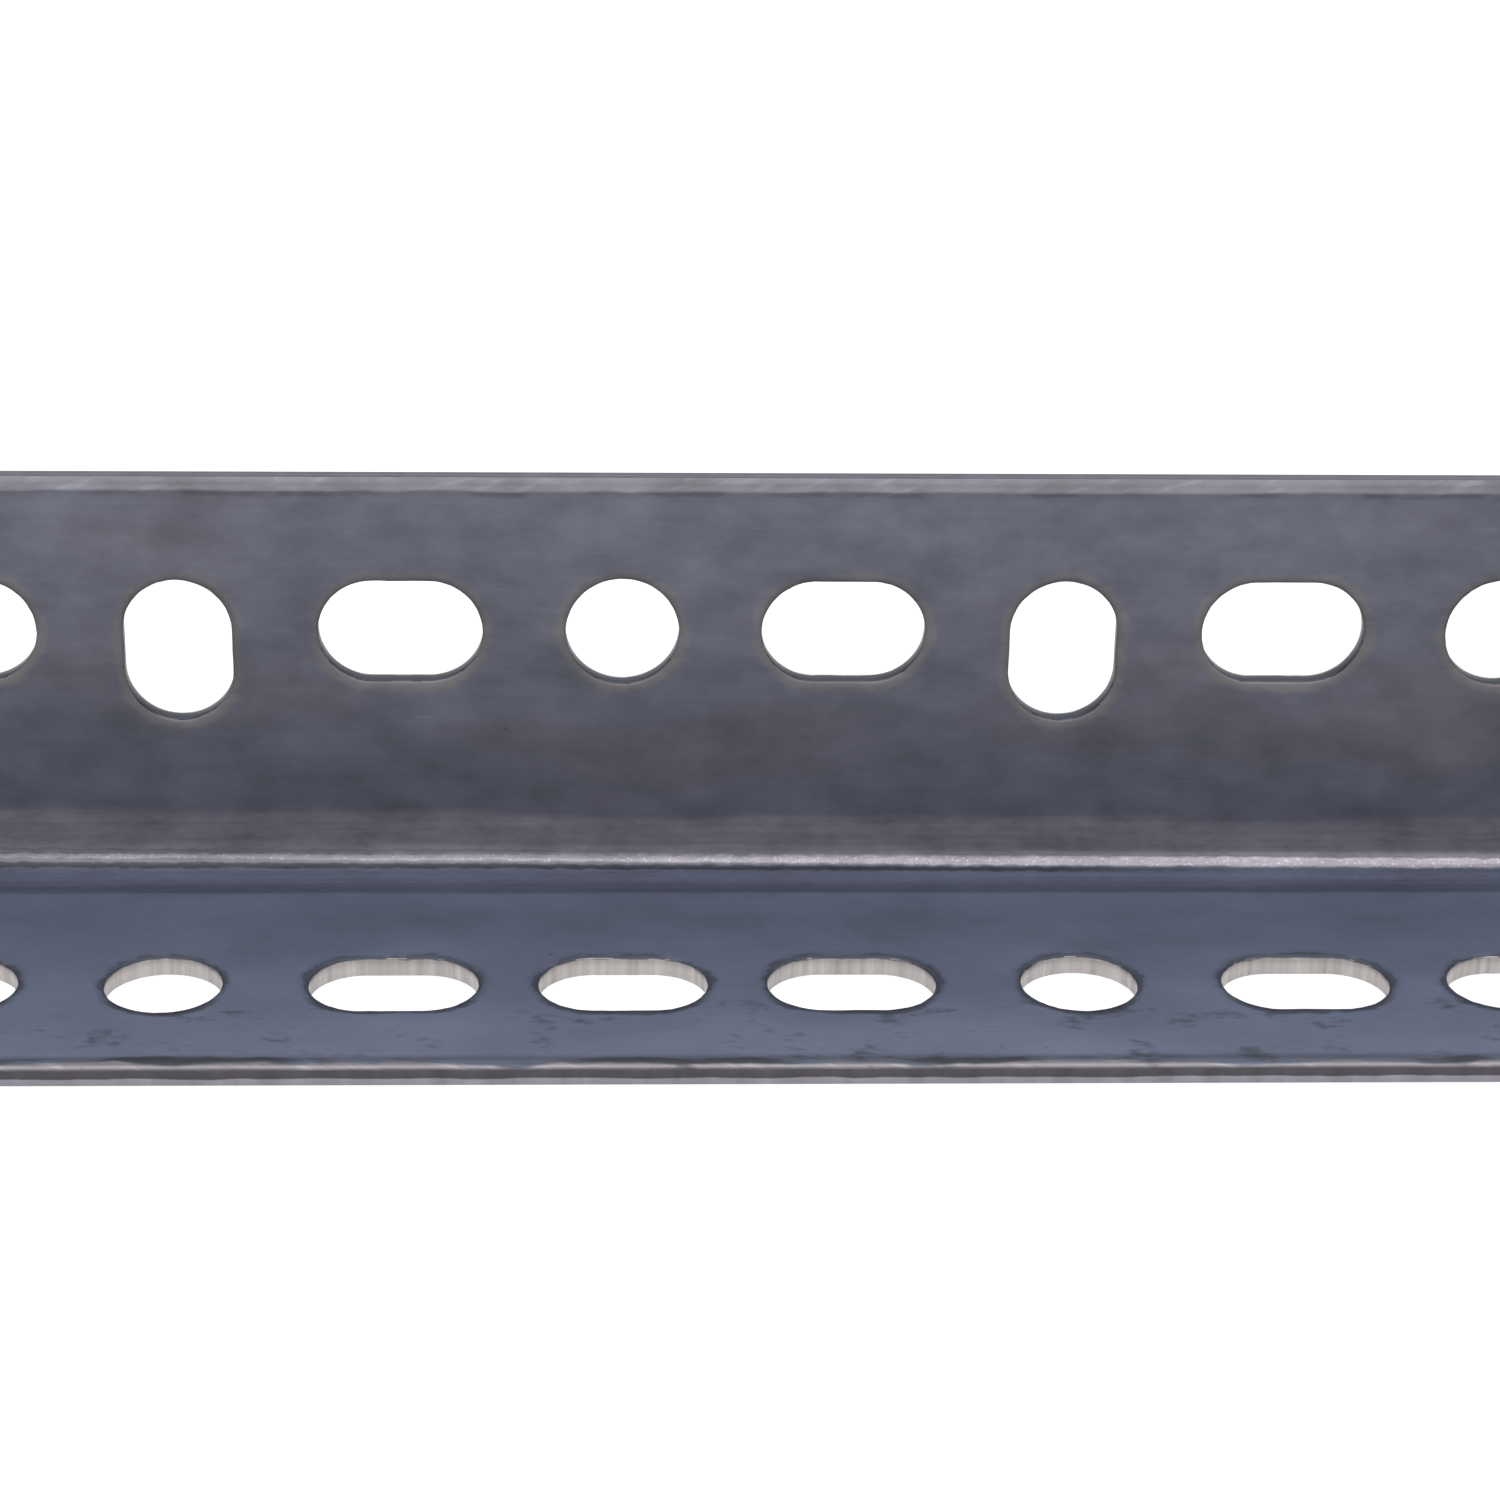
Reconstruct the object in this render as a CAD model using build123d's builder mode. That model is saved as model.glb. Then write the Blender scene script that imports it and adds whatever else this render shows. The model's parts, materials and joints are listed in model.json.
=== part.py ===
from build123d import *
import os

# Slotted angle: a strip of steel punched with two rows of bolt holes and bent lengthwise to a right angle.
#
# It lies as it would on a floor: one leg flat and the other upright behind it, with the hollow side facing -Y.
# X runs along the bar, +Y is towards the back of the upright leg and +Z is up. The origin is on the floor, in
# the middle of the bar's length and of the lying leg's width. All sizes are in millimetres.

# The bar, cut from stock
bar_length = 609.6
leg_width = 38.1
metal_thickness = 1.8
inner_bend_radius = 1.5

# Slit toes: the slitting knife draws the inner face down over this width, by this depth
toe_roll_width = 1.25
toe_roll_depth = 0.3

# Punched holes, with each row's centre line measured from the outer heel. Both rows are punched in one stroke
# of the press, so their holes stand at the same places along the bar.
hole_pitch = 19.05
end_margin = 9.525
round_hole_diameter = 9.75
slot_width = 9.3
long_slot_length = 14.1
cross_slot_length = 13.0
upright_gauge = 24.1
lying_gauge = 23.9
cross_slot_drop = 1.8

# The order in which the punched shapes come along each leg, from the -X end, over and over
upright_order = ["cross slot", "long slot", "round", "long slot"]
lying_order = ["round", "long slot", "long slot", "long slot"]

# Places that follow from the sizes
outer_bend_radius = inner_bend_radius + metal_thickness
back_y = leg_width / 2
toe_y = back_y - leg_width
inner_y = back_y - metal_thickness
hole_count = int((bar_length - 2 * end_margin) / hole_pitch + 1e-6) + 1
first_hole_x = -(hole_count - 1) * hole_pitch / 2

# On both planes x runs along the bar and y runs from the outer heel to the toe
upright_plane = Plane(origin=(0, inner_y, 0), x_dir=(1, 0, 0), z_dir=(0, -1, 0))
lying_plane = Plane(origin=(0, back_y, metal_thickness), x_dir=(1, 0, 0), z_dir=(0, 0, -1))


def draw_hole_row(order, gauge):
    """Draw one leg's row of holes in the sketch that is open."""
    for number in range(hole_count):
        shape = order[number % len(order)]
        x = first_hole_x + number * hole_pitch
        if shape == "cross slot":
            with Locations((x, gauge - cross_slot_drop)):
                SlotOverall(cross_slot_length, slot_width, rotation=90)
        elif shape == "long slot":
            with Locations((x, gauge)):
                SlotOverall(long_slot_length, slot_width)
        else:
            with Locations((x, gauge)):
                Circle(round_hole_diameter / 2)


with BuildPart() as slotted_angle:
    # The bent strip: sole, heel, back, the upright's toe, the hollow side, and the lying leg's toe
    with BuildSketch(Plane.YZ.offset(-bar_length / 2)) as section:
        with BuildLine():
            sole = Line((toe_y, 0), (back_y - outer_bend_radius, 0))
            heel = TangentArc(sole @ 1, (back_y, outer_bend_radius), tangent=(1, 0))
            back = Line(heel @ 1, (back_y, leg_width))
            upright_toe = Line(back @ 1, (inner_y + toe_roll_depth, leg_width))
            upright_face = Line(
                (inner_y, leg_width - toe_roll_width), (inner_y, metal_thickness + inner_bend_radius)
            )
            TangentArc(upright_face @ 0, upright_toe @ 1, tangent=(0, 1))
            root = TangentArc(
                upright_face @ 1, (inner_y - inner_bend_radius, metal_thickness), tangent=(0, -1)
            )
            lying_face = Line(root @ 1, (toe_y + toe_roll_width, metal_thickness))
            lying_roll = TangentArc(
                lying_face @ 1, (toe_y, metal_thickness - toe_roll_depth), tangent=(-1, 0)
            )
            Line(lying_roll @ 1, sole @ 0)
        make_face()
    extrude(amount=bar_length)

    # The upright's holes, punched from its hollow side to its back
    with BuildSketch(upright_plane) as upright_holes:
        draw_hole_row(upright_order, upright_gauge)
    extrude(amount=-metal_thickness, mode=Mode.SUBTRACT)

    # The lying leg's holes, punched from its hollow side to the sole
    with BuildSketch(lying_plane) as lying_holes:
        draw_hole_row(lying_order, lying_gauge)
    extrude(amount=metal_thickness, mode=Mode.SUBTRACT)

slotted_angle.part.label = "slotted_angle"

os.makedirs("parts", exist_ok=True)
export_step(slotted_angle.part, "parts/slotted_angle.step")
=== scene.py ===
# %% [markdown]
# # A length of slotted angle
#
# This lesson dresses one length of slotted angle: a strip of plain steel that was slit, punched with two
# rows of bolt holes and bent lengthwise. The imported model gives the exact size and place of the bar. Here
# the bar is modelled again in finer mesh, with the marks that the punch, the knives and the bending tool
# leave, and gets the dark, bluish skin of steel that was never plated or painted.
#
# Everything is in metres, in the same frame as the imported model: X runs along the bar, +Y is towards the
# back of the upright leg and +Z is up.

# %% Load the frame
import json
import math

import bmesh
import bpy
from mathutils import Matrix, Vector, noise


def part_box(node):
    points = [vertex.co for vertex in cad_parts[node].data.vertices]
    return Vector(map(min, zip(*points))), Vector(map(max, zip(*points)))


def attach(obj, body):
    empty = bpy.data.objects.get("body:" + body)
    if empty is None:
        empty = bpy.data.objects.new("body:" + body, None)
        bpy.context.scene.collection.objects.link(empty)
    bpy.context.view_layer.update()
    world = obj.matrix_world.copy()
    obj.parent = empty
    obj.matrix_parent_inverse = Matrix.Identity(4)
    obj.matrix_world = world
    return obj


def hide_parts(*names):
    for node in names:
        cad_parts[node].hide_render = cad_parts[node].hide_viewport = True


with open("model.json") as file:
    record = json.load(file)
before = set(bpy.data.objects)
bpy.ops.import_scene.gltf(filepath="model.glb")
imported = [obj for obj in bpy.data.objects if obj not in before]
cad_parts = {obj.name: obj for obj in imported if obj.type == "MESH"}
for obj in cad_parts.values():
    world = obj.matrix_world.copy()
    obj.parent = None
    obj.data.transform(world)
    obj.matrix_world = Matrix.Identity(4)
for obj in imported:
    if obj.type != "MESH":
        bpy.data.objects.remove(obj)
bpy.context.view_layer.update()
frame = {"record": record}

# %% [markdown]
# ## Sizes
#
# The bar's length and leg width come from its box in the frame. The hole rows come from the record's
# mounts, which state the gauge line, the pitch and the size of a few holes. What the record doesn't state
# is written here once: the thickness of the metal, the bend's inside radius and the cross slots.

# %% Sizes from the frame
MM = 0.001
box_low, box_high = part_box("slotted_angle")
bar_length = box_high.x - box_low.x
leg_width = box_high.z - box_low.z
back_y = box_high.y

metal = 1.8 * MM
inner_bend_radius = 1.5 * MM
outer_bend_radius = inner_bend_radius + metal
hollow_y = back_y - metal

mounts = {mount["name"]: mount for mount in frame["record"]["mounts"]}
upright_slots = mounts["upright_slots_left_end"]
lying_slots = mounts["lying_slots_left_end"]
pitch = upright_slots["dims"]["spacing_x_mm"] * MM / 2
upright_gauge = upright_slots["pos_m"][2]
lying_gauge = back_y - lying_slots["pos_m"][1]
slot_radius = upright_slots["dims"]["hole_r_mm"] * MM
long_slot_reach = upright_slots["dims"]["slot_length_mm"] * MM / 2 - slot_radius
round_radius = mounts["upright_rounds_left_end"]["dims"]["hole_r_mm"] * MM
cross_slot_length = 13.0 * MM
cross_slot_reach = cross_slot_length / 2 - slot_radius
cross_slot_drop = 1.8 * MM
hole_count = round(bar_length / pitch)
print(f"bar {bar_length / MM:.1f} mm, leg {leg_width / MM:.1f} mm")
print(f"pitch {pitch / MM:.2f} mm, {hole_count} holes a leg")

# %% [markdown]
# ## A leg's own coordinates
#
# Both legs are modelled flat, as the strip was before it was bent: x along the bar, y from the heel to the
# toe, and z from the hollow side into the metal. A matrix then stands each leg in its place. That way one
# set of functions punches and trims both legs.

# %% Places of the two legs
upright_place = Matrix((
    (1, 0, 0, 0),
    (0, 0, 1, hollow_y),
    (0, 1, 0, 0),
    (0, 0, 0, 1),
))
lying_place = Matrix((
    (1, 0, 0, 0),
    (0, -1, 0, back_y),
    (0, 0, -1, metal),
    (0, 0, 0, 1),
))
upright_order = ["cross slot", "long slot", "round", "long slot"]
lying_order = ["round", "long slot", "long slot", "long slot"]

# %% [markdown]
# Each kind of surface gets a finish of its own later. These are their places in the bar's list of
# materials.

# %% Kinds of surface
HOLLOW_SKIN, BACK_SKIN, UPRIGHT_HOLE, LYING_HOLE, UPRIGHT_TOE, LYING_TOE, BAR_END = range(7)

# %% [markdown]
# ## The punched holes
#
# A punch enters on the hollow side. It first draws the skin down in a soft roll, then shears a smooth band,
# and at last the slug tears away and leaves a rougher, slightly wider band with a little burr. So a hole
# isn't a plain cut: it has a profile through the metal. The profile is a chain of a few vertices, spun a
# full turn. A slot is the same ring cut in two and pulled apart.

# %% The hole's profile, from the flat skin down the wall and out onto the back
roll_width = 0.9 * MM
roll_depth = 0.2 * MM
roll_steps = 5
sheared_to = 1.05 * MM
tear_growth = 0.03 * MM
burr = 0.05 * MM
halo_width = 1.25 * MM
ring_segments = 64
slot_side_cuts = 5

hole_profile = [(halo_width, 0.0)]
for step in range(roll_steps + 1):
    turn = math.radians(90) * step / roll_steps
    hole_profile.append((roll_width * (1 - math.sin(turn)), roll_depth * (1 - math.cos(turn))))
hole_profile += [
    (0.0, sheared_to),
    (tear_growth, metal - burr),
    (tear_growth + burr, metal),
    (halo_width, metal),
]
print("hole profile:", len(hole_profile), "points")

# %% [markdown]
# Every vertex keeps two numbers that the finishes read later: `rim`, which is 1 at the edge of a hole and
# fades to 0 at the end of its halo, and `cut`, which runs from 0 to 1 down a sheared wall. They are stored
# as attributes, so they move with the surface. A little noise, read at the vertex's own place, keeps the
# rims from looking turned on a lathe.

# %% Helpers for one hole
jag_depth = 0.035 * MM
jag_size = 0.7 * MM
jags_from = 0.15 * roll_depth
jags_to = metal - 2 * burr


def from_core(point, reach, direction):
    """The step from a slot's centre line to a point; a round hole's centre line is its centre."""
    if direction == "x":
        return Vector((point.x - max(-reach, min(reach, point.x)), point.y))
    return Vector((point.x, point.y - max(-reach, min(reach, point.y))))


def roughen(vert, step_out, seed):
    """Move a vertex of the roll or the wall a little, by noise at its own place."""
    if jags_from < vert.co.z < jags_to:
        wave = noise.noise(Vector((vert.co.x, vert.co.y, seed * jag_size)) / jag_size)
        vert.co.xy += step_out.normalized() * wave * jag_depth
        vert.co.z += noise.noise(Vector((seed * jag_size, vert.co.x, vert.co.y)) / jag_size) * jag_depth


# %% Punch one hole
wall_from = 0.7 * roll_depth
back_from = metal - 0.1 * burr


def punch_hole(leg, centre, radius, reach, direction, wall, seed):
    """Add one hole's ring to the flat leg."""
    ring = bmesh.new()
    rim = ring.verts.layers.float.new("rim")
    cut = ring.verts.layers.float.new("cut")
    chain = [ring.verts.new((radius + out, 0, deep)) for out, deep in hole_profile]
    edges = [ring.edges.new(pair) for pair in zip(chain, chain[1:])]
    bmesh.ops.spin(
        ring, geom=chain + edges, cent=(0, 0, 0), axis=(0, 0, 1), dvec=(0, 0, 0),
        angle=math.tau, steps=ring_segments, use_merge=True, use_duplicate=False,
    )
    half_step = Matrix.Rotation(math.pi / ring_segments, 3, "Z")
    bmesh.ops.rotate(ring, cent=(0, 0, 0), matrix=half_step, verts=ring.verts)
    if reach:
        axis = "xy".index(direction)
        for vert in ring.verts:
            vert.co[axis] += math.copysign(reach, vert.co[axis])
        stretched = [edge for edge in ring.edges if edge.calc_length() > reach]
        bmesh.ops.subdivide_edges(ring, edges=stretched, cuts=slot_side_cuts, use_grid_fill=True)
    for vert in ring.verts:
        step_out = from_core(vert.co, reach, direction)
        out = step_out.length - radius
        vert[rim] = 1 - max(0.0, min(1.0, out / halo_width))
        vert[cut] = max(0.0, (vert.co.z - roll_depth) / (metal - roll_depth))
        roughen(vert, step_out, seed)
    for face in ring.faces:
        deep = min(vert.co.z for vert in face.verts)
        if deep > back_from:
            face.material_index = BACK_SKIN
        elif deep > wall_from:
            face.material_index = wall
        else:
            face.material_index = HOLLOW_SKIN
        face.smooth = True
    bmesh.ops.translate(ring, vec=(*centre, 0), verts=ring.verts)
    made = bpy.data.meshes.new("ring")
    ring.to_mesh(made)
    ring.free()
    leg.from_mesh(made)
    bpy.data.meshes.remove(made)


def hole_list(order, gauge):
    """Each hole of one row: centre, radius, reach of a slot, and the direction that the slot runs in."""
    holes = []
    for number in range(hole_count):
        x = (number - (hole_count - 1) / 2) * pitch
        shape = order[number % len(order)]
        if shape == "cross slot":
            holes.append(((x, gauge - cross_slot_drop), slot_radius, cross_slot_reach, "y"))
        elif shape == "long slot":
            holes.append(((x, gauge), slot_radius, long_slot_reach, "x"))
        else:
            holes.append(((x, gauge), round_radius, 0.0, "x"))
    return holes


# %% [markdown]
# ## The slit toe
#
# The strip's long edges were slit by round knives, which work as a punch does. The skin is drawn down over
# a wide roll on the hollow side, and below it the end face has a sheared band and a torn band. The toe is
# a chain of points, swept along the bar: one long row of edges is extruded from point to point.

# %% The toe's profile: across the leg, and into the metal
toe_roll_width = 1.25 * MM
toe_roll_depth = 0.3 * MM
toe_roll_steps = 6
toe_corner = 0.1 * MM
toe_sheared_to = 1.05 * MM
toe_tear = 0.02 * MM
toe_tear_height = 0.05 * MM
toe_back_edge = 0.05 * MM
row_segments = 560

toe_roll_radius = (toe_roll_width ** 2 + toe_roll_depth ** 2) / (2 * toe_roll_depth)
toe_roll_turn = math.asin(toe_roll_width / toe_roll_radius)
toe_profile = [(leg_width - toe_roll_width, 0.0)]
for step in range(1, toe_roll_steps + 1):
    turn = toe_roll_turn * step / toe_roll_steps
    across = leg_width - toe_roll_width + toe_roll_radius * math.sin(turn)
    toe_profile.append((across - toe_corner * step / toe_roll_steps, toe_roll_radius * (1 - math.cos(turn))))
toe_profile += [
    (leg_width - toe_corner * 0.3, toe_roll_depth + toe_corner * 0.3),
    (leg_width, toe_roll_depth + toe_corner),
    (leg_width, toe_sheared_to),
    (leg_width - toe_tear, toe_sheared_to + toe_tear_height),
    (leg_width - toe_tear, metal - burr),
    (leg_width - toe_back_edge, metal),
]
print("toe profile:", len(toe_profile), "points")


# %% Draw a row of edges along the bar, and sweep it
rounding = 0.0001 * MM


def near(value, other):
    """Whether two lengths are the same, but for rounding."""
    return abs(value - other) < rounding


def on_row(vert, across, deep):
    """Whether a vertex lies on the row at this place in the section."""
    return near(vert.co.y, across) and near(vert.co.z, deep)


def long_row(mesh, across, deep):
    """One straight row of edges along the whole bar."""
    ends = [mesh.verts.new((side * bar_length / 2, across, deep)) for side in (-1, 1)]
    edge = mesh.edges.new(ends)
    bmesh.ops.subdivide_edges(mesh, edges=[edge], cuts=row_segments - 1)
    return [e for e in mesh.edges if all(on_row(vert, across, deep) for vert in e.verts)]


def extrude_row(mesh, row, step_across, step_deep, kind):
    """Extrude a row of edges by one step of the profile; return the new row and its vertices."""
    made = bmesh.ops.extrude_edge_only(mesh, edges=row)["geom"]
    new_verts = [item for item in made if isinstance(item, bmesh.types.BMVert)]
    for item in made:
        if isinstance(item, bmesh.types.BMFace):
            item.material_index = kind
            item.smooth = True
    bmesh.ops.translate(mesh, vec=(0, step_across, step_deep), verts=new_verts)
    moved = set(new_verts)
    around = {e for vert in new_verts for e in vert.link_edges}
    return [e for e in around if all(v in moved for v in e.verts)], new_verts


# %% [markdown]
# ## One leg, laid flat
#
# The leg is built from its edges inwards: the rows at the bend, the swept toe and the rings of the holes.
# What is left between them is flat, and one fill closes it on each side, as a sheet with holes in it.

# %% Sweep the toe, and make its roll a little wavy
wall_top = toe_roll_depth + toe_corner
roll_end = 0.99 * wall_top
wavy_width = 0.95 * toe_roll_width
slow_wave = 7 * MM
slow_depth = 0.05 * MM
quick_wave = 1.6 * MM
quick_depth = 0.025 * MM
quick_seed = 9


def sweep_toe(leg, toe_kind, seed):
    """Sweep the toe's profile and return its first row and its last."""
    cut = leg.verts.layers.float["cut"]
    first = row = long_row(leg, *toe_profile[0])
    for here, there in zip(toe_profile, toe_profile[1:]):
        kind = toe_kind if here[1] > roll_end else HOLLOW_SKIN
        row, verts = extrude_row(leg, row, there[0] - here[0], there[1] - here[1], kind)
        for vert in verts:
            vert[cut] = max(0.0, (there[1] - wall_top) / (metal - wall_top))
    for vert in {v for face in leg.faces for v in face.verts}:
        inside = leg_width - vert.co.y
        if 0 < inside < wavy_width and 0 < vert.co.z < roll_end:
            slow = noise.noise(Vector((vert.co.x / slow_wave, seed, inside / MM)))
            quick = noise.noise(Vector((vert.co.x / quick_wave, seed + quick_seed, inside / MM)))
            vert.co.z += (slow * slow_depth + quick * quick_depth) * vert.co.z / wall_top
    return first, row


# %% Build a flat leg
seed_step = 3.7


def close_flat(leg, outline, kind):
    """Fill the flat sheet between an outline's long rows and its holes."""
    corners = {}
    for vert in {v for edge in outline for v in edge.verts}:
        if near(abs(vert.co.x), bar_length / 2):
            corners.setdefault(vert.co.x > 0, []).append(vert)
    closing = [leg.edges.new(pair) for pair in corners.values()]
    filled = bmesh.ops.triangle_fill(
        leg, use_beauty=True, use_dissolve=False, edges=outline + closing, normal=(0, 0, 1)
    )
    for item in filled["geom"]:
        if isinstance(item, bmesh.types.BMFace):
            item.material_index = kind
            item.smooth = False


def flat_leg(holes, hole_kind, toe_kind, seed):
    """Model one leg flat: toe, holes, hollow side and back."""
    leg = bmesh.new()
    leg.verts.layers.float.new("rim")
    leg.verts.layers.float.new("cut")
    toe_front, toe_back = sweep_toe(leg, toe_kind, seed)
    heel_front = long_row(leg, outer_bend_radius, 0.0)
    heel_back = long_row(leg, outer_bend_radius, metal)
    rows = set(toe_front + toe_back + heel_front + heel_back)
    toe_sides = {e for e in leg.edges if e.is_boundary} - rows
    for number, (centre, radius, reach, direction) in enumerate(holes):
        punch_hole(leg, centre, radius, reach, direction, hole_kind, seed + number * seed_step)
    rims = [e for e in leg.edges if e.is_boundary and e not in rows and e not in toe_sides]
    close_flat(leg, toe_front + heel_front + [e for e in rims if e.verts[0].co.z < metal / 2], HOLLOW_SKIN)
    close_flat(leg, toe_back + heel_back + [e for e in rims if e.verts[0].co.z > metal / 2], BACK_SKIN)
    print("flat leg:", len(leg.faces), "faces")
    return leg


# %% Stand both legs in their places
bar = bmesh.new()
upright_holes = hole_list(upright_order, upright_gauge)
lying_holes = hole_list(lying_order, lying_gauge)
for holes, place, hole_kind, toe_kind, seed in (
    (upright_holes, upright_place, UPRIGHT_HOLE, UPRIGHT_TOE, 11.0),
    (lying_holes, lying_place, LYING_HOLE, LYING_TOE, 531.0),
):
    leg = flat_leg(holes, hole_kind, toe_kind, seed)
    bmesh.ops.transform(leg, matrix=place, verts=leg.verts)
    leg_mesh = bpy.data.meshes.new("leg")
    leg.to_mesh(leg_mesh)
    leg.free()
    bar.from_mesh(leg_mesh)
    bpy.data.meshes.remove(leg_mesh)
print("two legs:", len(bar.faces), "faces")

# %% [markdown]
# ## The bend
#
# The two legs are joined by the bend, which is a quarter turn about one line: tight on the hollow side and
# wider on the back. Spinning the upright leg's lowest row of edges about that line makes each surface, and
# it ends exactly on the lying leg's row, where the two are welded.

# %% Spin the bend
bend_centre = Vector((0, back_y - outer_bend_radius, outer_bend_radius))
bend_steps = 12
weld_distance = 0.002 * MM
for radius, kind in ((inner_bend_radius, HOLLOW_SKIN), (outer_bend_radius, BACK_SKIN)):
    start_y = bend_centre.y + radius
    row = [e for e in bar.edges if all(on_row(vert, start_y, bend_centre.z) for vert in e.verts)]
    old_faces = set(bar.faces)
    bmesh.ops.spin(
        bar, geom=row, cent=bend_centre, axis=(1, 0, 0), dvec=(0, 0, 0),
        angle=-math.radians(90), steps=bend_steps, use_merge=False, use_duplicate=False,
    )
    for face in set(bar.faces) - old_faces:
        face.material_index = kind
        face.smooth = True
bmesh.ops.remove_doubles(bar, verts=bar.verts, dist=weld_distance)
print("bar with its bend:", len(bar.faces), "faces")

# %% Close the two ends
ends = [e for e in bar.edges if e.is_boundary]
caps = bmesh.ops.holes_fill(bar, edges=ends, sides=0)["faces"]
for cap in caps:
    cap.material_index = BAR_END
bmesh.ops.recalc_face_normals(bar, faces=bar.faces)
open_edges = sum(1 for e in bar.edges if not e.is_manifold)
print("bar:", len(bar.verts), "vertices,", len(caps), "ends closed; edges not closed:", open_edges)

# %% [markdown]
# ## A place on the flat strip
#
# The roll marks, stains and scratches were on the strip before it was bent, so they run round the bend. A
# UV map keeps each point's place on that strip, in metres: u along the bar, and v across it, measured over
# the metal from the middle of the bend, positive up the upright leg and negative out along the lying leg.

# %% Unroll the bar onto a UV map
unstretched_radius = inner_bend_radius + metal / 3
half_bend = math.radians(45) * unstretched_radius


def strip_place(point):
    """Where a point of the bar was on the flat strip."""
    if point.z > bend_centre.z:
        return Vector((point.x, half_bend + point.z - bend_centre.z))
    if point.y < bend_centre.y:
        return Vector((point.x, -half_bend - bend_centre.y + point.y))
    turn = math.atan2(bend_centre.z - point.z, point.y - bend_centre.y)
    return Vector((point.x, half_bend * (1 - turn / math.radians(45))))


strip_map = bar.loops.layers.uv.new("strip")
for face in bar.faces:
    for loop in face.loops:
        loop[strip_map].uv = strip_place(loop.vert.co)
toe_v = half_bend + leg_width - outer_bend_radius
print(f"strip runs from {-toe_v / MM:.2f} to {toe_v / MM:.2f} mm across")

# %% Make the bar an object
sharp_from = math.radians(38)
bar_mesh = bpy.data.meshes.new("punched_bar")
bar.to_mesh(bar_mesh)
bar.free()
bar_mesh.set_sharp_from_angle(angle=sharp_from)
punched_bar = bpy.data.objects.new("punched_bar", bar_mesh)
bpy.context.scene.collection.objects.link(punched_bar)
triangles = sum(len(polygon.vertices) - 2 for polygon in bar_mesh.polygons)
print("punched bar:", triangles, "triangles")

# %% Hand the bar to the frame
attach(punched_bar, "root")
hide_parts("slotted_angle")
print(punched_bar.name, "stands in for slotted_angle")

# %% [markdown]
# ## Writing a finish
#
# A finish is a tree of nodes. Small helpers keep each tree as short to read as a recipe. They add a node and
# link what it is given, do sums, overlap two masks, let noise swing a value, fade from 0 to 1 between two
# places, draw a soft stripe, make noise that is stretched by its own scale in each direction, and change a
# tone or a tint where a mask is 1.

# %% Node helpers
def add_node(tree, kind, inputs=None, **settings):
    """Add a node with its settings; an input that is given a socket is linked, others are set."""
    node = tree.nodes.new(kind)
    for name, value in settings.items():
        setattr(node, name, value)
    for name, value in (inputs or {}).items():
        if isinstance(value, bpy.types.NodeSocket):
            tree.links.new(value, node.inputs[name])
        else:
            node.inputs[name].default_value = value
    return node


def sums(tree, operation, *values):
    """One step of arithmetic."""
    return add_node(tree, "ShaderNodeMath", dict(enumerate(values)), operation=operation).outputs[0]


def overlap(tree, mask, other):
    """1 where both masks are 1."""
    return sums(tree, "MULTIPLY", mask, other)


def swing(tree, waves, strength, base):
    """Move a value up and down by noise, which runs from 0 to 1."""
    return sums(tree, "MULTIPLY_ADD", sums(tree, "SUBTRACT", waves, 0.5), strength, base)


def fade(tree, value, start, end):
    """Rise smoothly from 0 at one value to 1 at another."""
    places = {"Value": value, "From Min": start, "From Max": end}
    return add_node(tree, "ShaderNodeMapRange", places, interpolation_type="SMOOTHSTEP").outputs["Result"]


def stripe(tree, value, middle, outer, inner):
    """A soft stripe: 1 within its inner half width of the middle, 0 beyond its outer one."""
    distance = sums(tree, "ABSOLUTE", sums(tree, "SUBTRACT", value, middle))
    return fade(tree, distance, outer, inner)


def stretched_noise(tree, place, scale, detail=2.0, start=(0.0, 0.0, 0.0), turn=0.0):
    """Noise with its own number of waves per metre in each direction."""
    moved = add_node(tree, "ShaderNodeMapping", {
        "Vector": place, "Location": start, "Rotation": (0.0, 0.0, turn), "Scale": scale,
    })
    return add_node(
        tree, "ShaderNodeTexNoise", {"Vector": moved.outputs[0], "Scale": 1.0, "Detail": detail}
    ).outputs[0]


def toned(tree, tone, mask, factor):
    """Multiply a tone by a factor where the mask is 1."""
    change = add_node(tree, "ShaderNodeMapRange", {"Value": mask, "To Min": 1.0, "To Max": factor})
    return sums(tree, "MULTIPLY", tone, change.outputs["Result"])


def tinted(tree, colour, mask, tint):
    """Blend a colour towards a tint by a mask."""
    node = add_node(tree, "ShaderNodeMix", {0: mask, 6: colour, 7: (*tint, 1)}, data_type="RGBA")
    return node.outputs[2]


# %% Shared effects are node groups
def new_effect(name, takes, gives):
    """Start a node group; return it with its input and output nodes."""
    effect = bpy.data.node_groups.new(name, "ShaderNodeTree")
    for socket in takes:
        kind = "NodeSocketVector" if socket == "Place" else "NodeSocketFloat"
        effect.interface.new_socket(socket, in_out="INPUT", socket_type=kind)
    for socket in gives:
        effect.interface.new_socket(socket, in_out="OUTPUT", socket_type="NodeSocketFloat")
    return effect, effect.nodes.new("NodeGroupInput"), effect.nodes.new("NodeGroupOutput")


def use_effect(tree, effect, inputs):
    """Place a node group in a tree and return its outputs."""
    return add_node(tree, "ShaderNodeGroup", inputs, node_tree=effect).outputs


# %% [markdown]
# ## Effect: the rolled skin
#
# A rolling mill leaves faint lines along the strip: most are short flecks, a millimetre or two long, and some
# run on for centimetres. Handling leaves soft smudges, a few fine scratches and a few specks. The flecks and
# lines are noise that is stretched along the strip and squeezed across it. Specks are the centres of the few
# cells of a cell pattern that a random number picks out.

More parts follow.
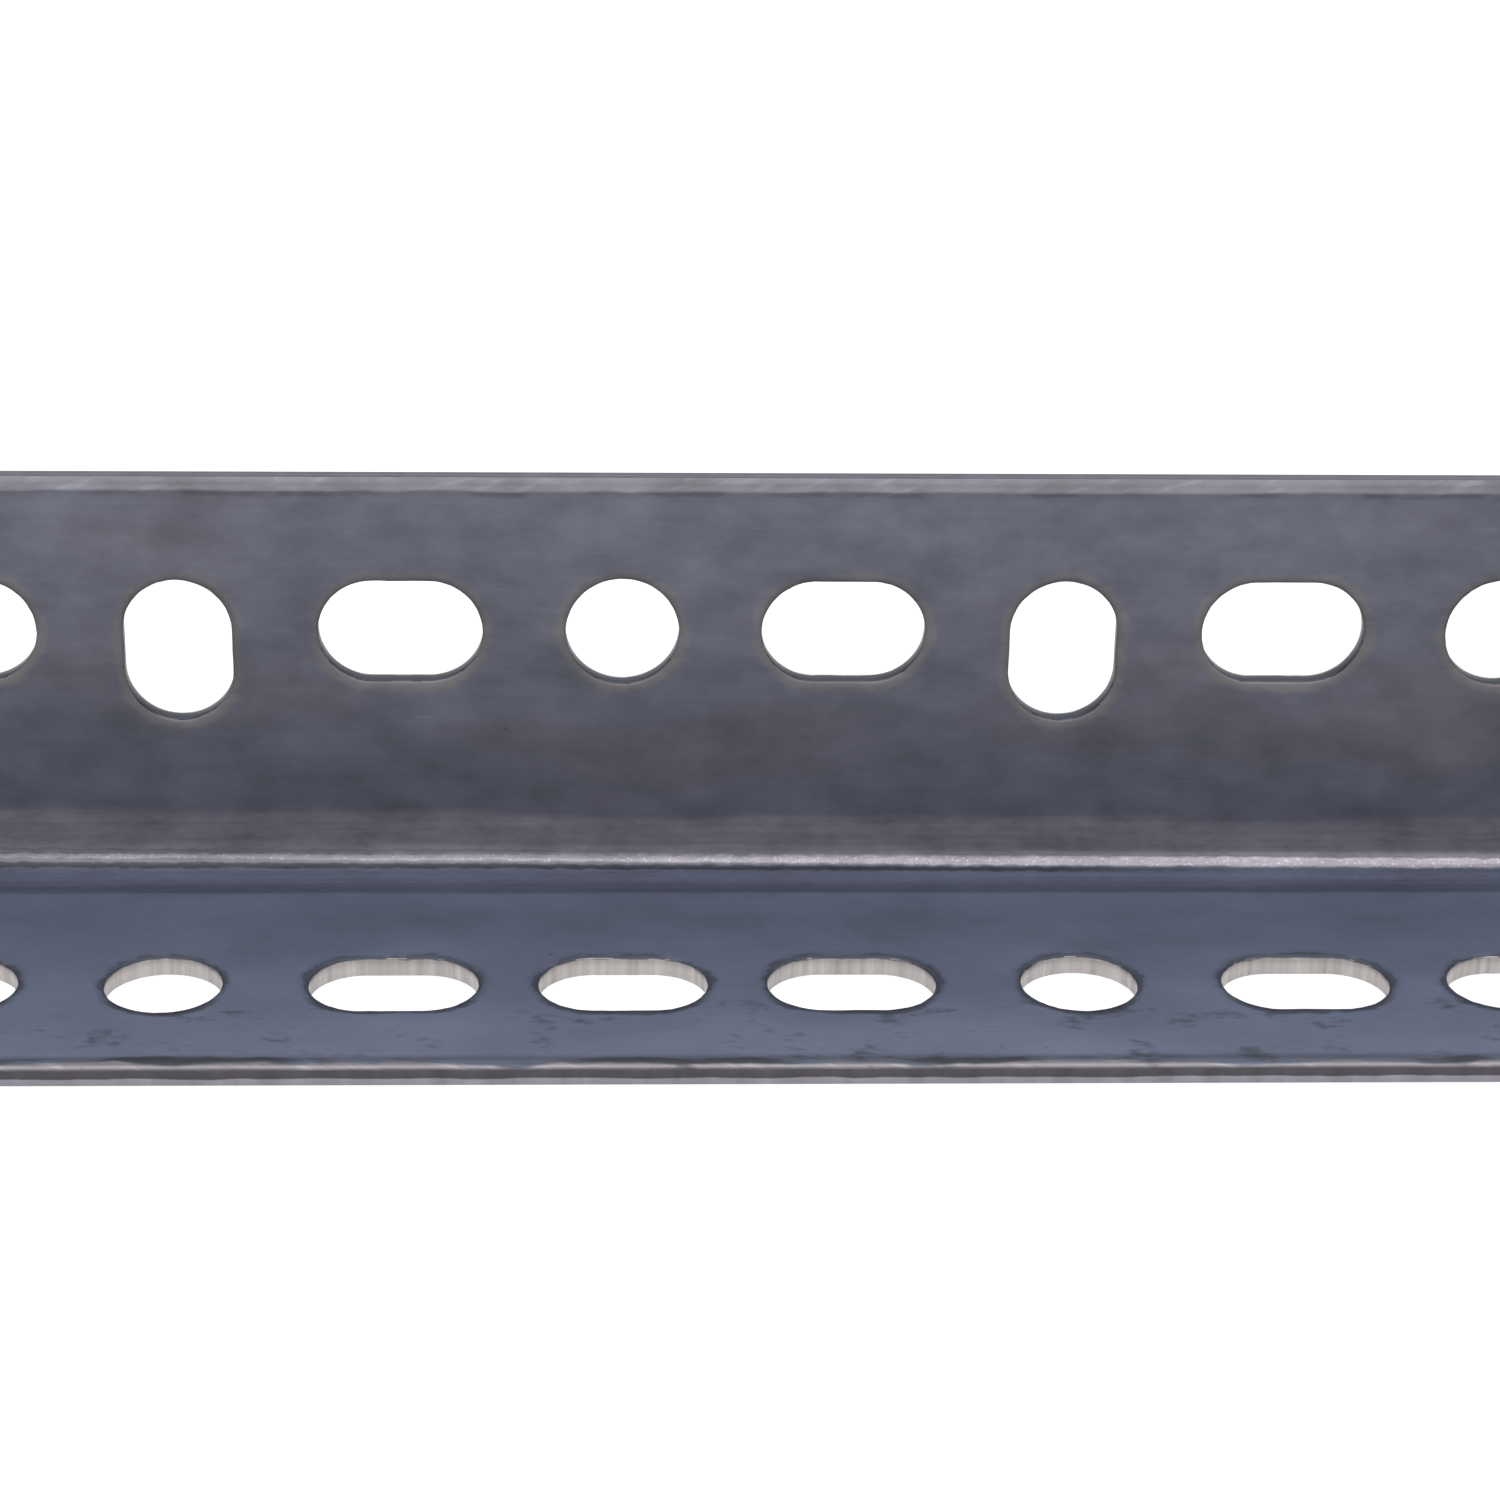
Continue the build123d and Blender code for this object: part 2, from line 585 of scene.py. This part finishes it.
# %% Rolled skin
rolled_skin, taken, given = new_effect(
    "rolled_skin", ["Place"],
    ["Flecks", "Lines", "Mottle", "Smudges", "Stains", "Scratches", "Pale specks", "Dark specks"],
)
place = taken.outputs["Place"]
for name, scale, detail in (
    ("Flecks", (750, 1700, 1000), 3.0),
    ("Lines", (35, 1900, 1000), 3.0),
    ("Mottle", (190, 300, 1000), 4.0),
    ("Smudges", (55, 110, 1000), 4.0),
):
    rolled_skin.links.new(stretched_noise(rolled_skin, place, scale, detail), given.inputs[name])
stains = stretched_noise(rolled_skin, place, (22, 75, 1000), 3.0, (6.2, 1.4, 0.0))
rolled_skin.links.new(fade(rolled_skin, stains, 0.46, 0.66), given.inputs["Stains"])
scratch_turn = math.radians(-24)
scratches = stretched_noise(rolled_skin, place, (150, 5200, 1000), 1.0, turn=scratch_turn)
rolled_skin.links.new(fade(rolled_skin, scratches, 0.74, 0.8), given.inputs["Scratches"])

# %% Specks
speck_squeeze = 1.4
picked_above = 0.93
for name, cells, largest, start in (("Pale specks", 330, 0.11, 3.1), ("Dark specks", 260, 0.13, 8.6)):
    moved = add_node(rolled_skin, "ShaderNodeMapping", {
        "Vector": place, "Location": (start, start, 0), "Scale": (1, speck_squeeze, 1000),
    })
    cell = add_node(rolled_skin, "ShaderNodeTexVoronoi", {"Vector": moved.outputs[0], "Scale": cells})
    chance = add_node(rolled_skin, "ShaderNodeSeparateColor", {"Color": cell.outputs["Color"]})
    picked = sums(rolled_skin, "GREATER_THAN", chance.outputs[0], picked_above)
    size = sums(rolled_skin, "MULTIPLY", chance.outputs[1], largest)
    dot = fade(rolled_skin, cell.outputs["Distance"], size, 0.0)
    rolled_skin.links.new(overlap(rolled_skin, dot, picked), given.inputs[name])
print("effect:", rolled_skin.name, len(rolled_skin.nodes), "nodes")

# %% [markdown]
# ## Effect: marks of the bending tool
#
# The bar was folded over a tool with a nose about 7 mm wide on each side of the bend. Where the nose
# pressed, both legs keep a band with a burnished, browner skin, with a sharp edge on the lying leg and a
# soft, streaky one on the upright. On the upright the band is also painted lighter, as a painted reflection
# of the lying leg. In the corner itself the scale cracked and fell off in a grainy line of bare steel, which
# is also painted bright as a highlight, with a thin line of dirt and a painted glow above it and painted
# shade in the crease below it. The line wanders a little, as the tool was never quite straight.

# %% Where the tool's line runs
bend_marks, taken, given = new_effect(
    "bend_marks", ["Place"],
    ["Upright band", "Lying band", "Bare line and highlight", "Grain", "Painted glow", "Upper dirt", "Crease shade"],
)
place = taken.outputs["Place"]
parts = add_node(bend_marks, "ShaderNodeSeparateXYZ", {"Vector": place})
along, across = parts.outputs["X"], parts.outputs["Y"]
wander_length = 420 * MM
wander_width = 0.7 * MM
line_rise = 0.34 * MM
wander = sums(bend_marks, "SINE", sums(bend_marks, "MULTIPLY", along, math.tau / wander_length))
slow_noise = stretched_noise(bend_marks, place, (60, 0, 0), 3.0)
wandered = sums(bend_marks, "MULTIPLY_ADD", wander, -wander_width, line_rise)
line_middle = swing(bend_marks, slow_noise, 0.35 * MM, wandered)
from_line = sums(bend_marks, "SUBTRACT", across, line_middle)

# %% The two bands
band_slope = 0.008
streaky = stretched_noise(bend_marks, place, (45, 500, 0), 3.0)
upright_edge = swing(bend_marks, streaky, 2.6 * MM, across)
upright_edge = sums(bend_marks, "MULTIPLY_ADD", along, band_slope, upright_edge)
upright_end = fade(bend_marks, upright_edge, 5.4 * MM, 4.2 * MM)
upright_start = fade(bend_marks, across, -0.2 * MM, 0.5 * MM)
bend_marks.links.new(overlap(bend_marks, upright_end, upright_start), given.inputs["Upright band"])
lying_edge = swing(bend_marks, slow_noise, 0.5 * MM, across)
lying_end = fade(bend_marks, lying_edge, -5.8 * MM, -5.45 * MM)
lying_start = fade(bend_marks, across, 0.2 * MM, -0.5 * MM)
bend_marks.links.new(overlap(bend_marks, lying_end, lying_start), given.inputs["Lying band"])

# %% The bare line, painted bright as a highlight: its width and its grain
grains_per_metre = 2900.0
half_width = 0.6 * MM
cell = add_node(bend_marks, "ShaderNodeTexVoronoi", {"Vector": place, "Scale": grains_per_metre, "Detail": 1.0})
kept = add_node(bend_marks, "ShaderNodeSeparateColor", {"Color": cell.outputs["Color"]}).outputs[0]
grain_spot = fade(bend_marks, cell.outputs["Distance"], 0.75, 0.1)
grain = overlap(bend_marks, grain_spot, fade(bend_marks, kept, 0.2, 0.7))
bend_marks.links.new(grain, given.inputs["Grain"])
crumbs = stretched_noise(bend_marks, place, (700, 900, 0), 3.0, (2.2, 0, 0))
ragged = swing(bend_marks, crumbs, 0.75 * MM, from_line)
spread = sums(bend_marks, "MULTIPLY_ADD", wander, 0.42, 1.0)
line_edge = sums(bend_marks, "MULTIPLY", spread, half_width)
from_middle = sums(bend_marks, "DIVIDE", sums(bend_marks, "ABSOLUTE", ragged), line_edge)
bare = fade(bend_marks, from_middle, 1.1, 0.55)
# The bare line is painted as a bright highlight, and its brightness swings with the line's wander.
brightness = sums(bend_marks, "MULTIPLY_ADD", wander, 0.15, 0.85)
bend_marks.links.new(overlap(bend_marks, bare, brightness), given.inputs["Bare line and highlight"])

# %% The painted glow above the bare line, the dirt above it, and the painted shade in the crease below it
glow_end = fade(bend_marks, from_line, 2.0 * MM, 0.9 * MM)
glow_start = fade(bend_marks, from_line, 0.35 * MM, 0.6 * MM)
bend_marks.links.new(overlap(bend_marks, glow_end, glow_start), given.inputs["Painted glow"])
upper_dirt = stripe(bend_marks, ragged, 0.8 * MM, 0.2 * MM, 0.06 * MM)
bend_marks.links.new(upper_dirt, given.inputs["Upper dirt"])
# Painted shade in the crease below the bare line, weaker along part of each wave of the line.
crease_shade_kept = sums(bend_marks, "MULTIPLY_ADD", fade(bend_marks, wander, 0.4, 0.1), 0.8, 0.2)
crease_shade = stripe(bend_marks, ragged, -1.15 * MM, 0.56 * MM, 0.18 * MM)
bend_marks.links.new(overlap(bend_marks, crease_shade, crease_shade_kept), given.inputs["Crease shade"])
print("effect:", bend_marks.name, len(bend_marks.nodes), "nodes")

# %% [markdown]
# ## Effect: the slit toe
#
# Over the toe's roll the skin was stretched and rubbed by the knife: it is paler, with slanting chatter
# marks about 5 mm apart. It is darker, in tongues, where the roll begins, and a highlight is painted along
# the lying toe's edge.

# %% Marks of the toe
toe_marks, taken, given = new_effect(
    "toe_marks", ["Place"], ["Roll", "Outer roll", "Chatter", "Tongues", "Onset", "Blotches", "Corner highlight"]
)
place = taken.outputs["Place"]
parts = add_node(toe_marks, "ShaderNodeSeparateXYZ", {"Vector": place})
along, across = parts.outputs["X"], parts.outputs["Y"]
inside = sums(toe_marks, "SUBTRACT", toe_v, sums(toe_marks, "ABSOLUTE", across))
on_lying = fade(toe_marks, across, 2 * MM, -2 * MM)
uneven = stretched_noise(toe_marks, place, (120, 300, 0), 3.0)
reach = sums(toe_marks, "MULTIPLY_ADD", on_lying, 1.6 * MM, 0.6 * MM)
roll_place = swing(toe_marks, uneven, reach, inside)
later = sums(toe_marks, "MULTIPLY_ADD", on_lying, 0.55 * MM, roll_place)
toe_marks.links.new(fade(toe_marks, later, 1.28 * MM, 0.98 * MM), given.inputs["Roll"])
toe_marks.links.new(fade(toe_marks, inside, 0.82 * MM, 0.45 * MM), given.inputs["Outer roll"])
onset_start = fade(toe_marks, inside, 2.1 * MM, 0.95 * MM)
onset_end = fade(toe_marks, later, 0.95 * MM, 1.25 * MM)
toe_marks.links.new(overlap(toe_marks, onset_start, onset_end), given.inputs["Onset"])
# A painted highlight along the toe's edge, where the roll meets the end face.
corner_start = fade(toe_marks, inside, 0.5 * MM, 0.28 * MM)
corner_end = fade(toe_marks, inside, 0.06 * MM, 0.2 * MM)
toe_marks.links.new(overlap(toe_marks, corner_start, corner_end), given.inputs["Corner highlight"])

# %% Chatter, tongues and blotches
chatter_slant = 2.6
slant = sums(toe_marks, "MULTIPLY_ADD", inside, chatter_slant, along)
slant_place = add_node(toe_marks, "ShaderNodeCombineXYZ", {"X": slant, "Y": inside})
chatter = stretched_noise(toe_marks, slant_place.outputs[0], (420, 700, 0), 2.0)
toe_marks.links.new(fade(toe_marks, chatter, 0.53, 0.68), given.inputs["Chatter"])
tongue_noise = stretched_noise(toe_marks, place, (75, 300, 0), 3.0, (4.4, 0, 0))
tongue_stripe = stripe(toe_marks, later, 1.45 * MM, 0.6 * MM, 0.2 * MM)
tongues = overlap(toe_marks, fade(toe_marks, tongue_noise, 0.47, 0.6), tongue_stripe)
toe_marks.links.new(tongues, given.inputs["Tongues"])
blotch_noise = stretched_noise(toe_marks, place, (260, 700, 0), 3.0, (1.4, 0, 0))
blotch_stripe = stripe(toe_marks, roll_place, 1.35 * MM, 0.4 * MM, 0.1 * MM)
blotches = overlap(toe_marks, fade(toe_marks, blotch_noise, 0.42, 0.6), blotch_stripe)
toe_marks.links.new(blotches, given.inputs["Blotches"])
print("effect:", toe_marks.name, len(toe_marks.nodes), "nodes")

# %% [markdown]
# ## Finish: the mill skin
#
# The skin is the thin grey-blue film that hot steel grows as it cools. It is a dull metal: the colour
# below is how much light it throws back. The effects only shift its tone, its tint and how dull it is, so
# the bar stays one piece of steel. A shallow bump keeps the lines of the mill visible in the reflections.

# %% Build the skin
steel_colour = (0.121, 0.125, 0.16)
# Painted light: the lying leg is paler and bluer than the upright, as it faces up to the lamps.
lying_painted_light = (0.144, 0.168, 0.245)
stained_steel = (0.128, 0.125, 0.152)
band_brown = (0.180, 0.166, 0.190)
# Bare steel, painted bright as a highlight along the bend.
bare_steel_and_highlight = (0.33, 0.31, 0.345)
rubbed_upright = (0.21, 0.2, 0.23)
rubbed_lying = (0.15, 0.142, 0.155)
halo_brown = (0.150, 0.142, 0.152)


def new_finish(name, metallic):
    """Start a metal finish; return its tree and its shader."""
    material = bpy.data.materials.new(name)
    material.use_nodes = True
    tree = material.node_tree
    shader = tree.nodes["Principled BSDF"]
    shader.inputs["Metallic"].default_value = metallic
    bar_mesh.materials.append(material)
    return tree, shader


def finish_skin(name, start, bend_strength):
    """The skin of one side of the bar; the marks of the bending tool are strong on the hollow side only."""
    tree, shader = new_finish(name, 0.5)
    strip = add_node(tree, "ShaderNodeUVMap", uv_map="strip").outputs["UV"]
    pattern = add_node(tree, "ShaderNodeMapping", {"Vector": strip, "Location": start}).outputs[0]
    skin = use_effect(tree, rolled_skin, {"Place": pattern})
    bend = use_effect(tree, bend_marks, {"Place": strip})
    toe = use_effect(tree, toe_marks, {"Place": strip})
    rim = add_node(tree, "ShaderNodeAttribute", attribute_name="rim").outputs["Fac"]
    across = add_node(tree, "ShaderNodeSeparateXYZ", {"Vector": strip}).outputs["Y"]
    lying = fade(tree, across, 0.6 * MM, -2.2 * MM)
    upright = sums(tree, "SUBTRACT", 1.0, lying)
    bend_parts = {part.name: sums(tree, "MULTIPLY", part, bend_strength) for part in bend}
    bands = sums(tree, "ADD", bend_parts["Upright band"], bend_parts["Lying band"])

    # Tints: the stains; the lying leg, paler and bluer as painted light; the upright's band; halos of its
    # holes;
    # the rubbed toes; the bare line, which is also a painted highlight
    uneven_rim = swing(tree, skin["Mottle"], 1.5, rim)
    uneven_rim = swing(tree, skin["Flecks"], 0.7, uneven_rim)
    halo = overlap(tree, fade(tree, uneven_rim, 0.1, 0.6), fade(tree, rim, 0.0, 0.25))
    colour = (*steel_colour, 1)
    for mask, tint in (
        (sums(tree, "MULTIPLY", skin["Stains"], 0.6), stained_steel),
        (lying, lying_painted_light),
        (bend_parts["Upright band"], band_brown),
        (overlap(tree, halo, upright), halo_brown),
        (overlap(tree, toe["Roll"], upright), rubbed_upright),
        (overlap(tree, toe["Roll"], lying), rubbed_lying),
        (bend_parts["Bare line and highlight"], bare_steel_and_highlight),
    ):
        colour = tinted(tree, colour, mask, tint)

    # Tone of the rolled skin: flecks and lines are stronger where the bending tool burnished them
    tone = swing(tree, skin["Flecks"], sums(tree, "MULTIPLY_ADD", bands, 0.3, 0.2), 1.0)
    tone = swing(tree, skin["Lines"], sums(tree, "MULTIPLY_ADD", bands, 0.45, 0.12), tone)
    tone = swing(tree, skin["Mottle"], sums(tree, "MULTIPLY_ADD", upright, 0.55, 0.35), tone)
    tone = swing(tree, skin["Smudges"], 0.6, tone)

    # Each mask multiplies the tone by its own factor where it lies: below 1 is darker, above 1 is paler. Most
    # are marks on the steel; some are painted light and shade, and say so where they stand
    past_lying_band = fade(tree, across, -5.2 * MM, -5.7 * MM)
    beside_lying_band = overlap(tree, fade(tree, across, -11 * MM, -6.5 * MM), past_lying_band)
    near_bend = fade(tree, across, -5.0 * MM, -2.0 * MM)
    # The grains of the bare line are painted bright, as part of its painted highlight.
    highlight_grains = overlap(tree, bend_parts["Bare line and highlight"], bend["Grain"])
    rubs = overlap(tree, toe["Chatter"], toe["Roll"])
    # The toe side of the lying holes' row, where painted shade lies under the holes' near rims.
    shaded_near_side = fade(tree, across, -24.5 * MM, -26.5 * MM)
    for mask, factor in (
        (skin["Pale specks"], 1.7),
        (skin["Dark specks"], 0.5),
        (skin["Scratches"], 1.28),
        # Painted shade and light: darker below 12 to 17 mm up the strip, the lying leg too, and paler up the
        # upright towards its toe.
        (fade(tree, across, 17 * MM, 12 * MM), 0.88),
        (fade(tree, across, 16 * MM, 35 * MM), 1.14),
        (sums(tree, "MULTIPLY", beside_lying_band, bend_strength), 1.22),
        (bend_parts["Lying band"], 0.74),
        (overlap(tree, bend_parts["Lying band"], near_bend), 1.75),
        # On the upright the tool's band is browner and is also painted lighter, as a painted reflection of the
        # lying leg.
        (bend_parts["Upright band"], 1.14),
        # At the bend the glow and the grains of the bare line are a painted highlight, and the crease below it
        # is painted shade; the thin line above it is dirt.
        (bend_parts["Painted glow"], 1.35),
        (bend_parts["Upper dirt"], 0.84),
        (bend_parts["Crease shade"], 0.33),
        (highlight_grains, 2.2),
        (overlap(tree, rubs, upright), 1.22),
        (overlap(tree, rubs, lying), 1.35),
        (overlap(tree, toe["Blotches"], upright), 0.75),
        (overlap(tree, toe["Onset"], upright), 0.87),
        (overlap(tree, toe["Onset"], lying), 0.5),
        (overlap(tree, toe["Tongues"], lying), 0.27),
        (overlap(tree, toe["Outer roll"], upright), 0.8),
        # Painted highlight along the lying toe's edge.
        (overlap(tree, toe["Corner highlight"], lying), 1.9),
        # Painted shade round the lying holes: a dark band under their near rims, and darker rolls all round
        # them.
        (overlap(tree, shaded_near_side, fade(tree, uneven_rim, 0.05, 0.4)), 0.45),
        (overlap(tree, fade(tree, uneven_rim, 0.1, 0.85), lying), 0.68),
        (overlap(tree, fade(tree, uneven_rim, 0.58, 0.76), lying), 0.58),
        (fade(tree, rim, 0.93, 0.98), 0.8),
    ):
        tone = toned(tree, tone, mask, factor)
    shade = add_node(tree, "ShaderNodeVectorMath", {0: colour, "Scale": tone}, operation="SCALE")
    tree.links.new(shade.outputs[0], shader.inputs["Base Color"])

    # The lying band is a little glossier than the skin, and the grains stand out of the bare line
    dullness = swing(tree, skin["Smudges"], 0.12, 0.48)
    dullness = sums(tree, "MULTIPLY_ADD", bend_parts["Lying band"], -0.06, dullness)
    tree.links.new(dullness, shader.inputs["Roughness"])
    height = sums(tree, "MULTIPLY_ADD", highlight_grains, 0.5, skin["Flecks"])
    bump = add_node(tree, "ShaderNodeBump", {"Height": height, "Strength": 0.2, "Distance": 0.02 * MM})
    tree.links.new(bump.outputs["Normal"], shader.inputs["Normal"])
    print("finish:", name, len(tree.nodes), "nodes")


finish_skin("hollow_skin", (0.0, 0.0, 0.0), 1.0)
finish_skin("back_skin", (1.7, 0.9, 0.0), 0.0)

# %% [markdown]
# ## Finish: sheared walls
#
# Where the punch or the knife cut, bare steel shows. The upper part of a wall was wiped smooth by the tool
# and the lower part tore, so it is paler and rougher, and the line between them is ragged. Fine scores run
# in the direction that the tool moved. One effect makes both, and each wall gets its own two colours. In the
# upright holes the wiped part is painted nearly black, as painted shade.

# %% Sheared wall
sheared_wall, taken, given = new_effect(
    "sheared_wall", ["Place", "Cut", "Split", "Softness"], ["Torn", "Scores", "Lip"]
)
place = taken.outputs["Place"]
split, soft = taken.outputs["Split"], taken.outputs["Softness"]
scores = stretched_noise(sheared_wall, place, (1, 1, 1), 3.0)
ragged = stretched_noise(sheared_wall, place, (0.45, 0.45, 0.45), 3.0, (5.0, 2.0, 0.0))
uneven_cut = swing(sheared_wall, ragged, 0.3, taken.outputs["Cut"])
torn_from = sums(sheared_wall, "SUBTRACT", split, soft)
torn_to = sums(sheared_wall, "ADD", split, soft)
sheared_wall.links.new(fade(sheared_wall, uneven_cut, torn_from, torn_to), given.inputs["Torn"])
sheared_wall.links.new(scores, given.inputs["Scores"])
sheared_wall.links.new(fade(sheared_wall, uneven_cut, 0.1, 0.0), given.inputs["Lip"])
print("effect:", sheared_wall.name, len(sheared_wall.nodes), "nodes")


# %% Build the walls
def finish_wall(name, wiped, torn, split, softness, waves, contrast, lip_tone):
    """A sheared wall: its two colours, where they meet, and how its scores run."""
    tree, shader = new_finish(name, 1.0)
    where = add_node(tree, "ShaderNodeTexCoord").outputs["Object"]
    scored = add_node(tree, "ShaderNodeMapping", {"Vector": where, "Scale": waves}).outputs[0]
    cut = add_node(tree, "ShaderNodeAttribute", attribute_name="cut").outputs["Fac"]
    wall = use_effect(tree, sheared_wall, {"Place": scored, "Cut": cut, "Split": split, "Softness": softness})
    colour = tinted(tree, (*wiped, 1), wall["Torn"], torn)
    tone = toned(tree, swing(tree, wall["Scores"], contrast, 1.0), wall["Lip"], lip_tone)
    shade = add_node(tree, "ShaderNodeVectorMath", {0: colour, "Scale": tone}, operation="SCALE")
    tree.links.new(shade.outputs[0], shader.inputs["Base Color"])
    dullness = sums(tree, "MULTIPLY_ADD", wall["Torn"], 0.15, 0.38)
    tree.links.new(dullness, shader.inputs["Roughness"])
    bump = add_node(
        tree, "ShaderNodeBump", {"Height": wall["Scores"], "Strength": 0.4, "Distance": 0.03 * MM}
    )
    tree.links.new(bump.outputs["Normal"], shader.inputs["Normal"])
    print("finish:", name, len(tree.nodes), "nodes")


# The upright holes' wiped band is painted shade, nearly black.
finish_wall(
    "upright_hole_wall_painted_shade", wiped=(0.04, 0.043, 0.057), torn=(0.62, 0.62, 0.65), split=0.9, softness=0.17,
    waves=(1400, 60, 1400), contrast=0.2, lip_tone=0.8,
)
finish_wall(
    "lying_hole_wall", wiped=(0.42, 0.395, 0.39), torn=(0.45, 0.425, 0.42), split=0.6, softness=0.2,
    waves=(1500, 1500, 60), contrast=0.9, lip_tone=0.45,
)
finish_wall(
    "upright_toe_face", wiped=(0.094, 0.092, 0.12), torn=(0.112, 0.11, 0.14), split=0.5, softness=0.05,
    waves=(500, 300, 300), contrast=0.7, lip_tone=0.9,
)
finish_wall(
    "lying_toe_face", wiped=(0.082, 0.076, 0.088), torn=(0.305, 0.29, 0.332), split=0.57, softness=0.05,
    waves=(500, 60, 60), contrast=0.7, lip_tone=1.2,
)
finish_wall(
    "bar_end", wiped=(0.2, 0.195, 0.205), torn=(0.24, 0.235, 0.245), split=0.5, softness=0.3,
    waves=(60, 1500, 60), contrast=0.5, lip_tone=1.0,
)

# %% [markdown]
# ## Floor, light and camera
#
# The bar lies on a pale floor in a bright, even room, as in a product photograph with a white background.
# The floor is pale paint. To the camera and in reflections it also glows, so that it reads as white, and it
# still takes the bar's shadow. The glow rises away from the bar, where less light falls, so that the floor
# runs into the white room without a grey band.

# %% Floor
def seen_directly(tree):
    """1 for the camera and for reflections, 0 for the light that spreads from surface to surface."""
    path = add_node(tree, "ShaderNodeLightPath")
    direct = sums(tree, "MAXIMUM", path.outputs["Is Camera Ray"], path.outputs["Is Glossy Ray"])
    return sums(tree, "MAXIMUM", direct, path.outputs["Is Transmission Ray"])


floor_size = 6.0
floor_shade = 0.6
glow_at_bar = 0.6
glow_far_off = 1.0
glow_rises_from = 0.6
glow_rises_to = 1.6
floor_shape = bmesh.new()
bmesh.ops.create_grid(floor_shape, x_segments=1, y_segments=1, size=floor_size)
floor_mesh = bpy.data.meshes.new("floor")
floor_shape.to_mesh(floor_mesh)
floor_shape.free()
floor = bpy.data.objects.new("floor", floor_mesh)
bpy.context.scene.collection.objects.link(floor)

floor_paint = bpy.data.materials.new("pale_floor")
floor_paint.use_nodes = True
tree = floor_paint.node_tree
tree.nodes.clear()
paint = add_node(tree, "ShaderNodeBsdfDiffuse", {"Color": (floor_shade, floor_shade, floor_shade, 1)})
floor_place = add_node(tree, "ShaderNodeTexCoord").outputs["Object"]
from_bar = add_node(tree, "ShaderNodeVectorMath", {0: floor_place}, operation="LENGTH").outputs["Value"]
glow_here = add_node(tree, "ShaderNodeMapRange", {
    "Value": from_bar, "From Min": glow_rises_from, "From Max": glow_rises_to,
    "To Min": glow_at_bar, "To Max": glow_far_off,
})
floor_light = sums(tree, "MULTIPLY", seen_directly(tree), glow_here.outputs["Result"])
glow = add_node(tree, "ShaderNodeEmission", {"Strength": floor_light})
both = add_node(tree, "ShaderNodeAddShader", {0: paint.outputs[0], 1: glow.outputs[0]})
add_node(tree, "ShaderNodeOutputMaterial", {"Surface": both.outputs[0]})
floor_mesh.materials.append(floor_paint)
print("floor:", 2 * floor_size, "m wide,", len(tree.nodes), "nodes")

# %% World
room_light = 0.3
world = bpy.data.worlds.new("studio")
bpy.context.scene.world = world
world.use_nodes = True
tree = world.node_tree
level = add_node(
    tree, "ShaderNodeMapRange", {"Value": seen_directly(tree), "To Min": room_light, "To Max": 1.0}
)
tree.links.new(level.outputs["Result"], tree.nodes["Background"].inputs["Strength"])
tree.nodes["Background"].inputs["Color"].default_value = (1, 1, 1, 1)
print("room: white to the camera, and its light has the strength", room_light)

# %% [markdown]
# The main light is one wide softbox above and behind the camera. It shines straight into the hollow of the
# bar, so the corner isn't dark, and its reflections fall along the bend and the toe, where pale lines are
# also painted as highlights. A second, weaker one hangs overhead, behind the bar, and fills the lying leg.

# %% Softboxes
def hang_softbox(name, place, width, depth, brightness):
    """A soft rectangular lamp that points at the bar; its brightness is that of its own face."""
    lamp = bpy.data.lights.new(name, "AREA")
    lamp.shape = "RECTANGLE"
    lamp.size = width
    lamp.size_y = depth
    lamp.energy = brightness * math.pi * width * depth
    lamp_object = bpy.data.objects.new(name, lamp)
    lamp_object.location = place
    lamp_object.rotation_euler = (-Vector(place)).to_track_quat("-Z", "Y").to_euler()
    bpy.context.scene.collection.objects.link(lamp_object)
    print(name, f"{lamp.energy:.1f} W")


hang_softbox("front_softbox", place=(0, -1.0, 1.25), width=1.8, depth=1.2, brightness=2.4)
hang_softbox("back_softbox", place=(0, 0.6, 1.4), width=1.8, depth=1.0, brightness=1.8)

# %% [markdown]
# The camera looks down at the hollow of the bar. Its place, tilt and lens were worked out from the shapes of
# the holes and the two long edges in the photograph. The upright slots near the left of the frame stand
# straight and those on the right lean, so the picture was cropped from a wider one, and its lens pointed
# left of the frame's centre. A lens shift could stand for that, but it would push the bar out of the frame
# when the camera moves round it. So the camera turns by 2.4 degrees instead, and rolls a little to keep the
# bar level.

# %% Camera
camera_place = Vector((-30.89 * MM, back_y - 319.17 * MM, 157.16 * MM))
camera_tilt = 24.409
camera_turn = -2.43
camera_roll = 1.025
focal_px = 4000
frame_px = 1500
camera_data = bpy.data.cameras.new("camera")
camera_data.sensor_width = 36
camera_data.lens = focal_px / frame_px * camera_data.sensor_width
camera = bpy.data.objects.new("camera", camera_data)
camera.location = camera_place
turned = Matrix.Rotation(math.radians(camera_turn), 4, "Z")
look_down = Matrix.Rotation(math.radians(90 - camera_tilt), 4, "X")
rolled = Matrix.Rotation(math.radians(camera_roll), 4, "Z")
camera.rotation_euler = (turned @ look_down @ rolled).to_euler()
bpy.context.scene.collection.objects.link(camera)
bpy.context.scene.camera = camera
bpy.context.scene.view_settings.view_transform = "Standard"
print(f"camera: lens {camera_data.lens:.1f} mm, {camera_place.length:.3f} m from the bar's middle")
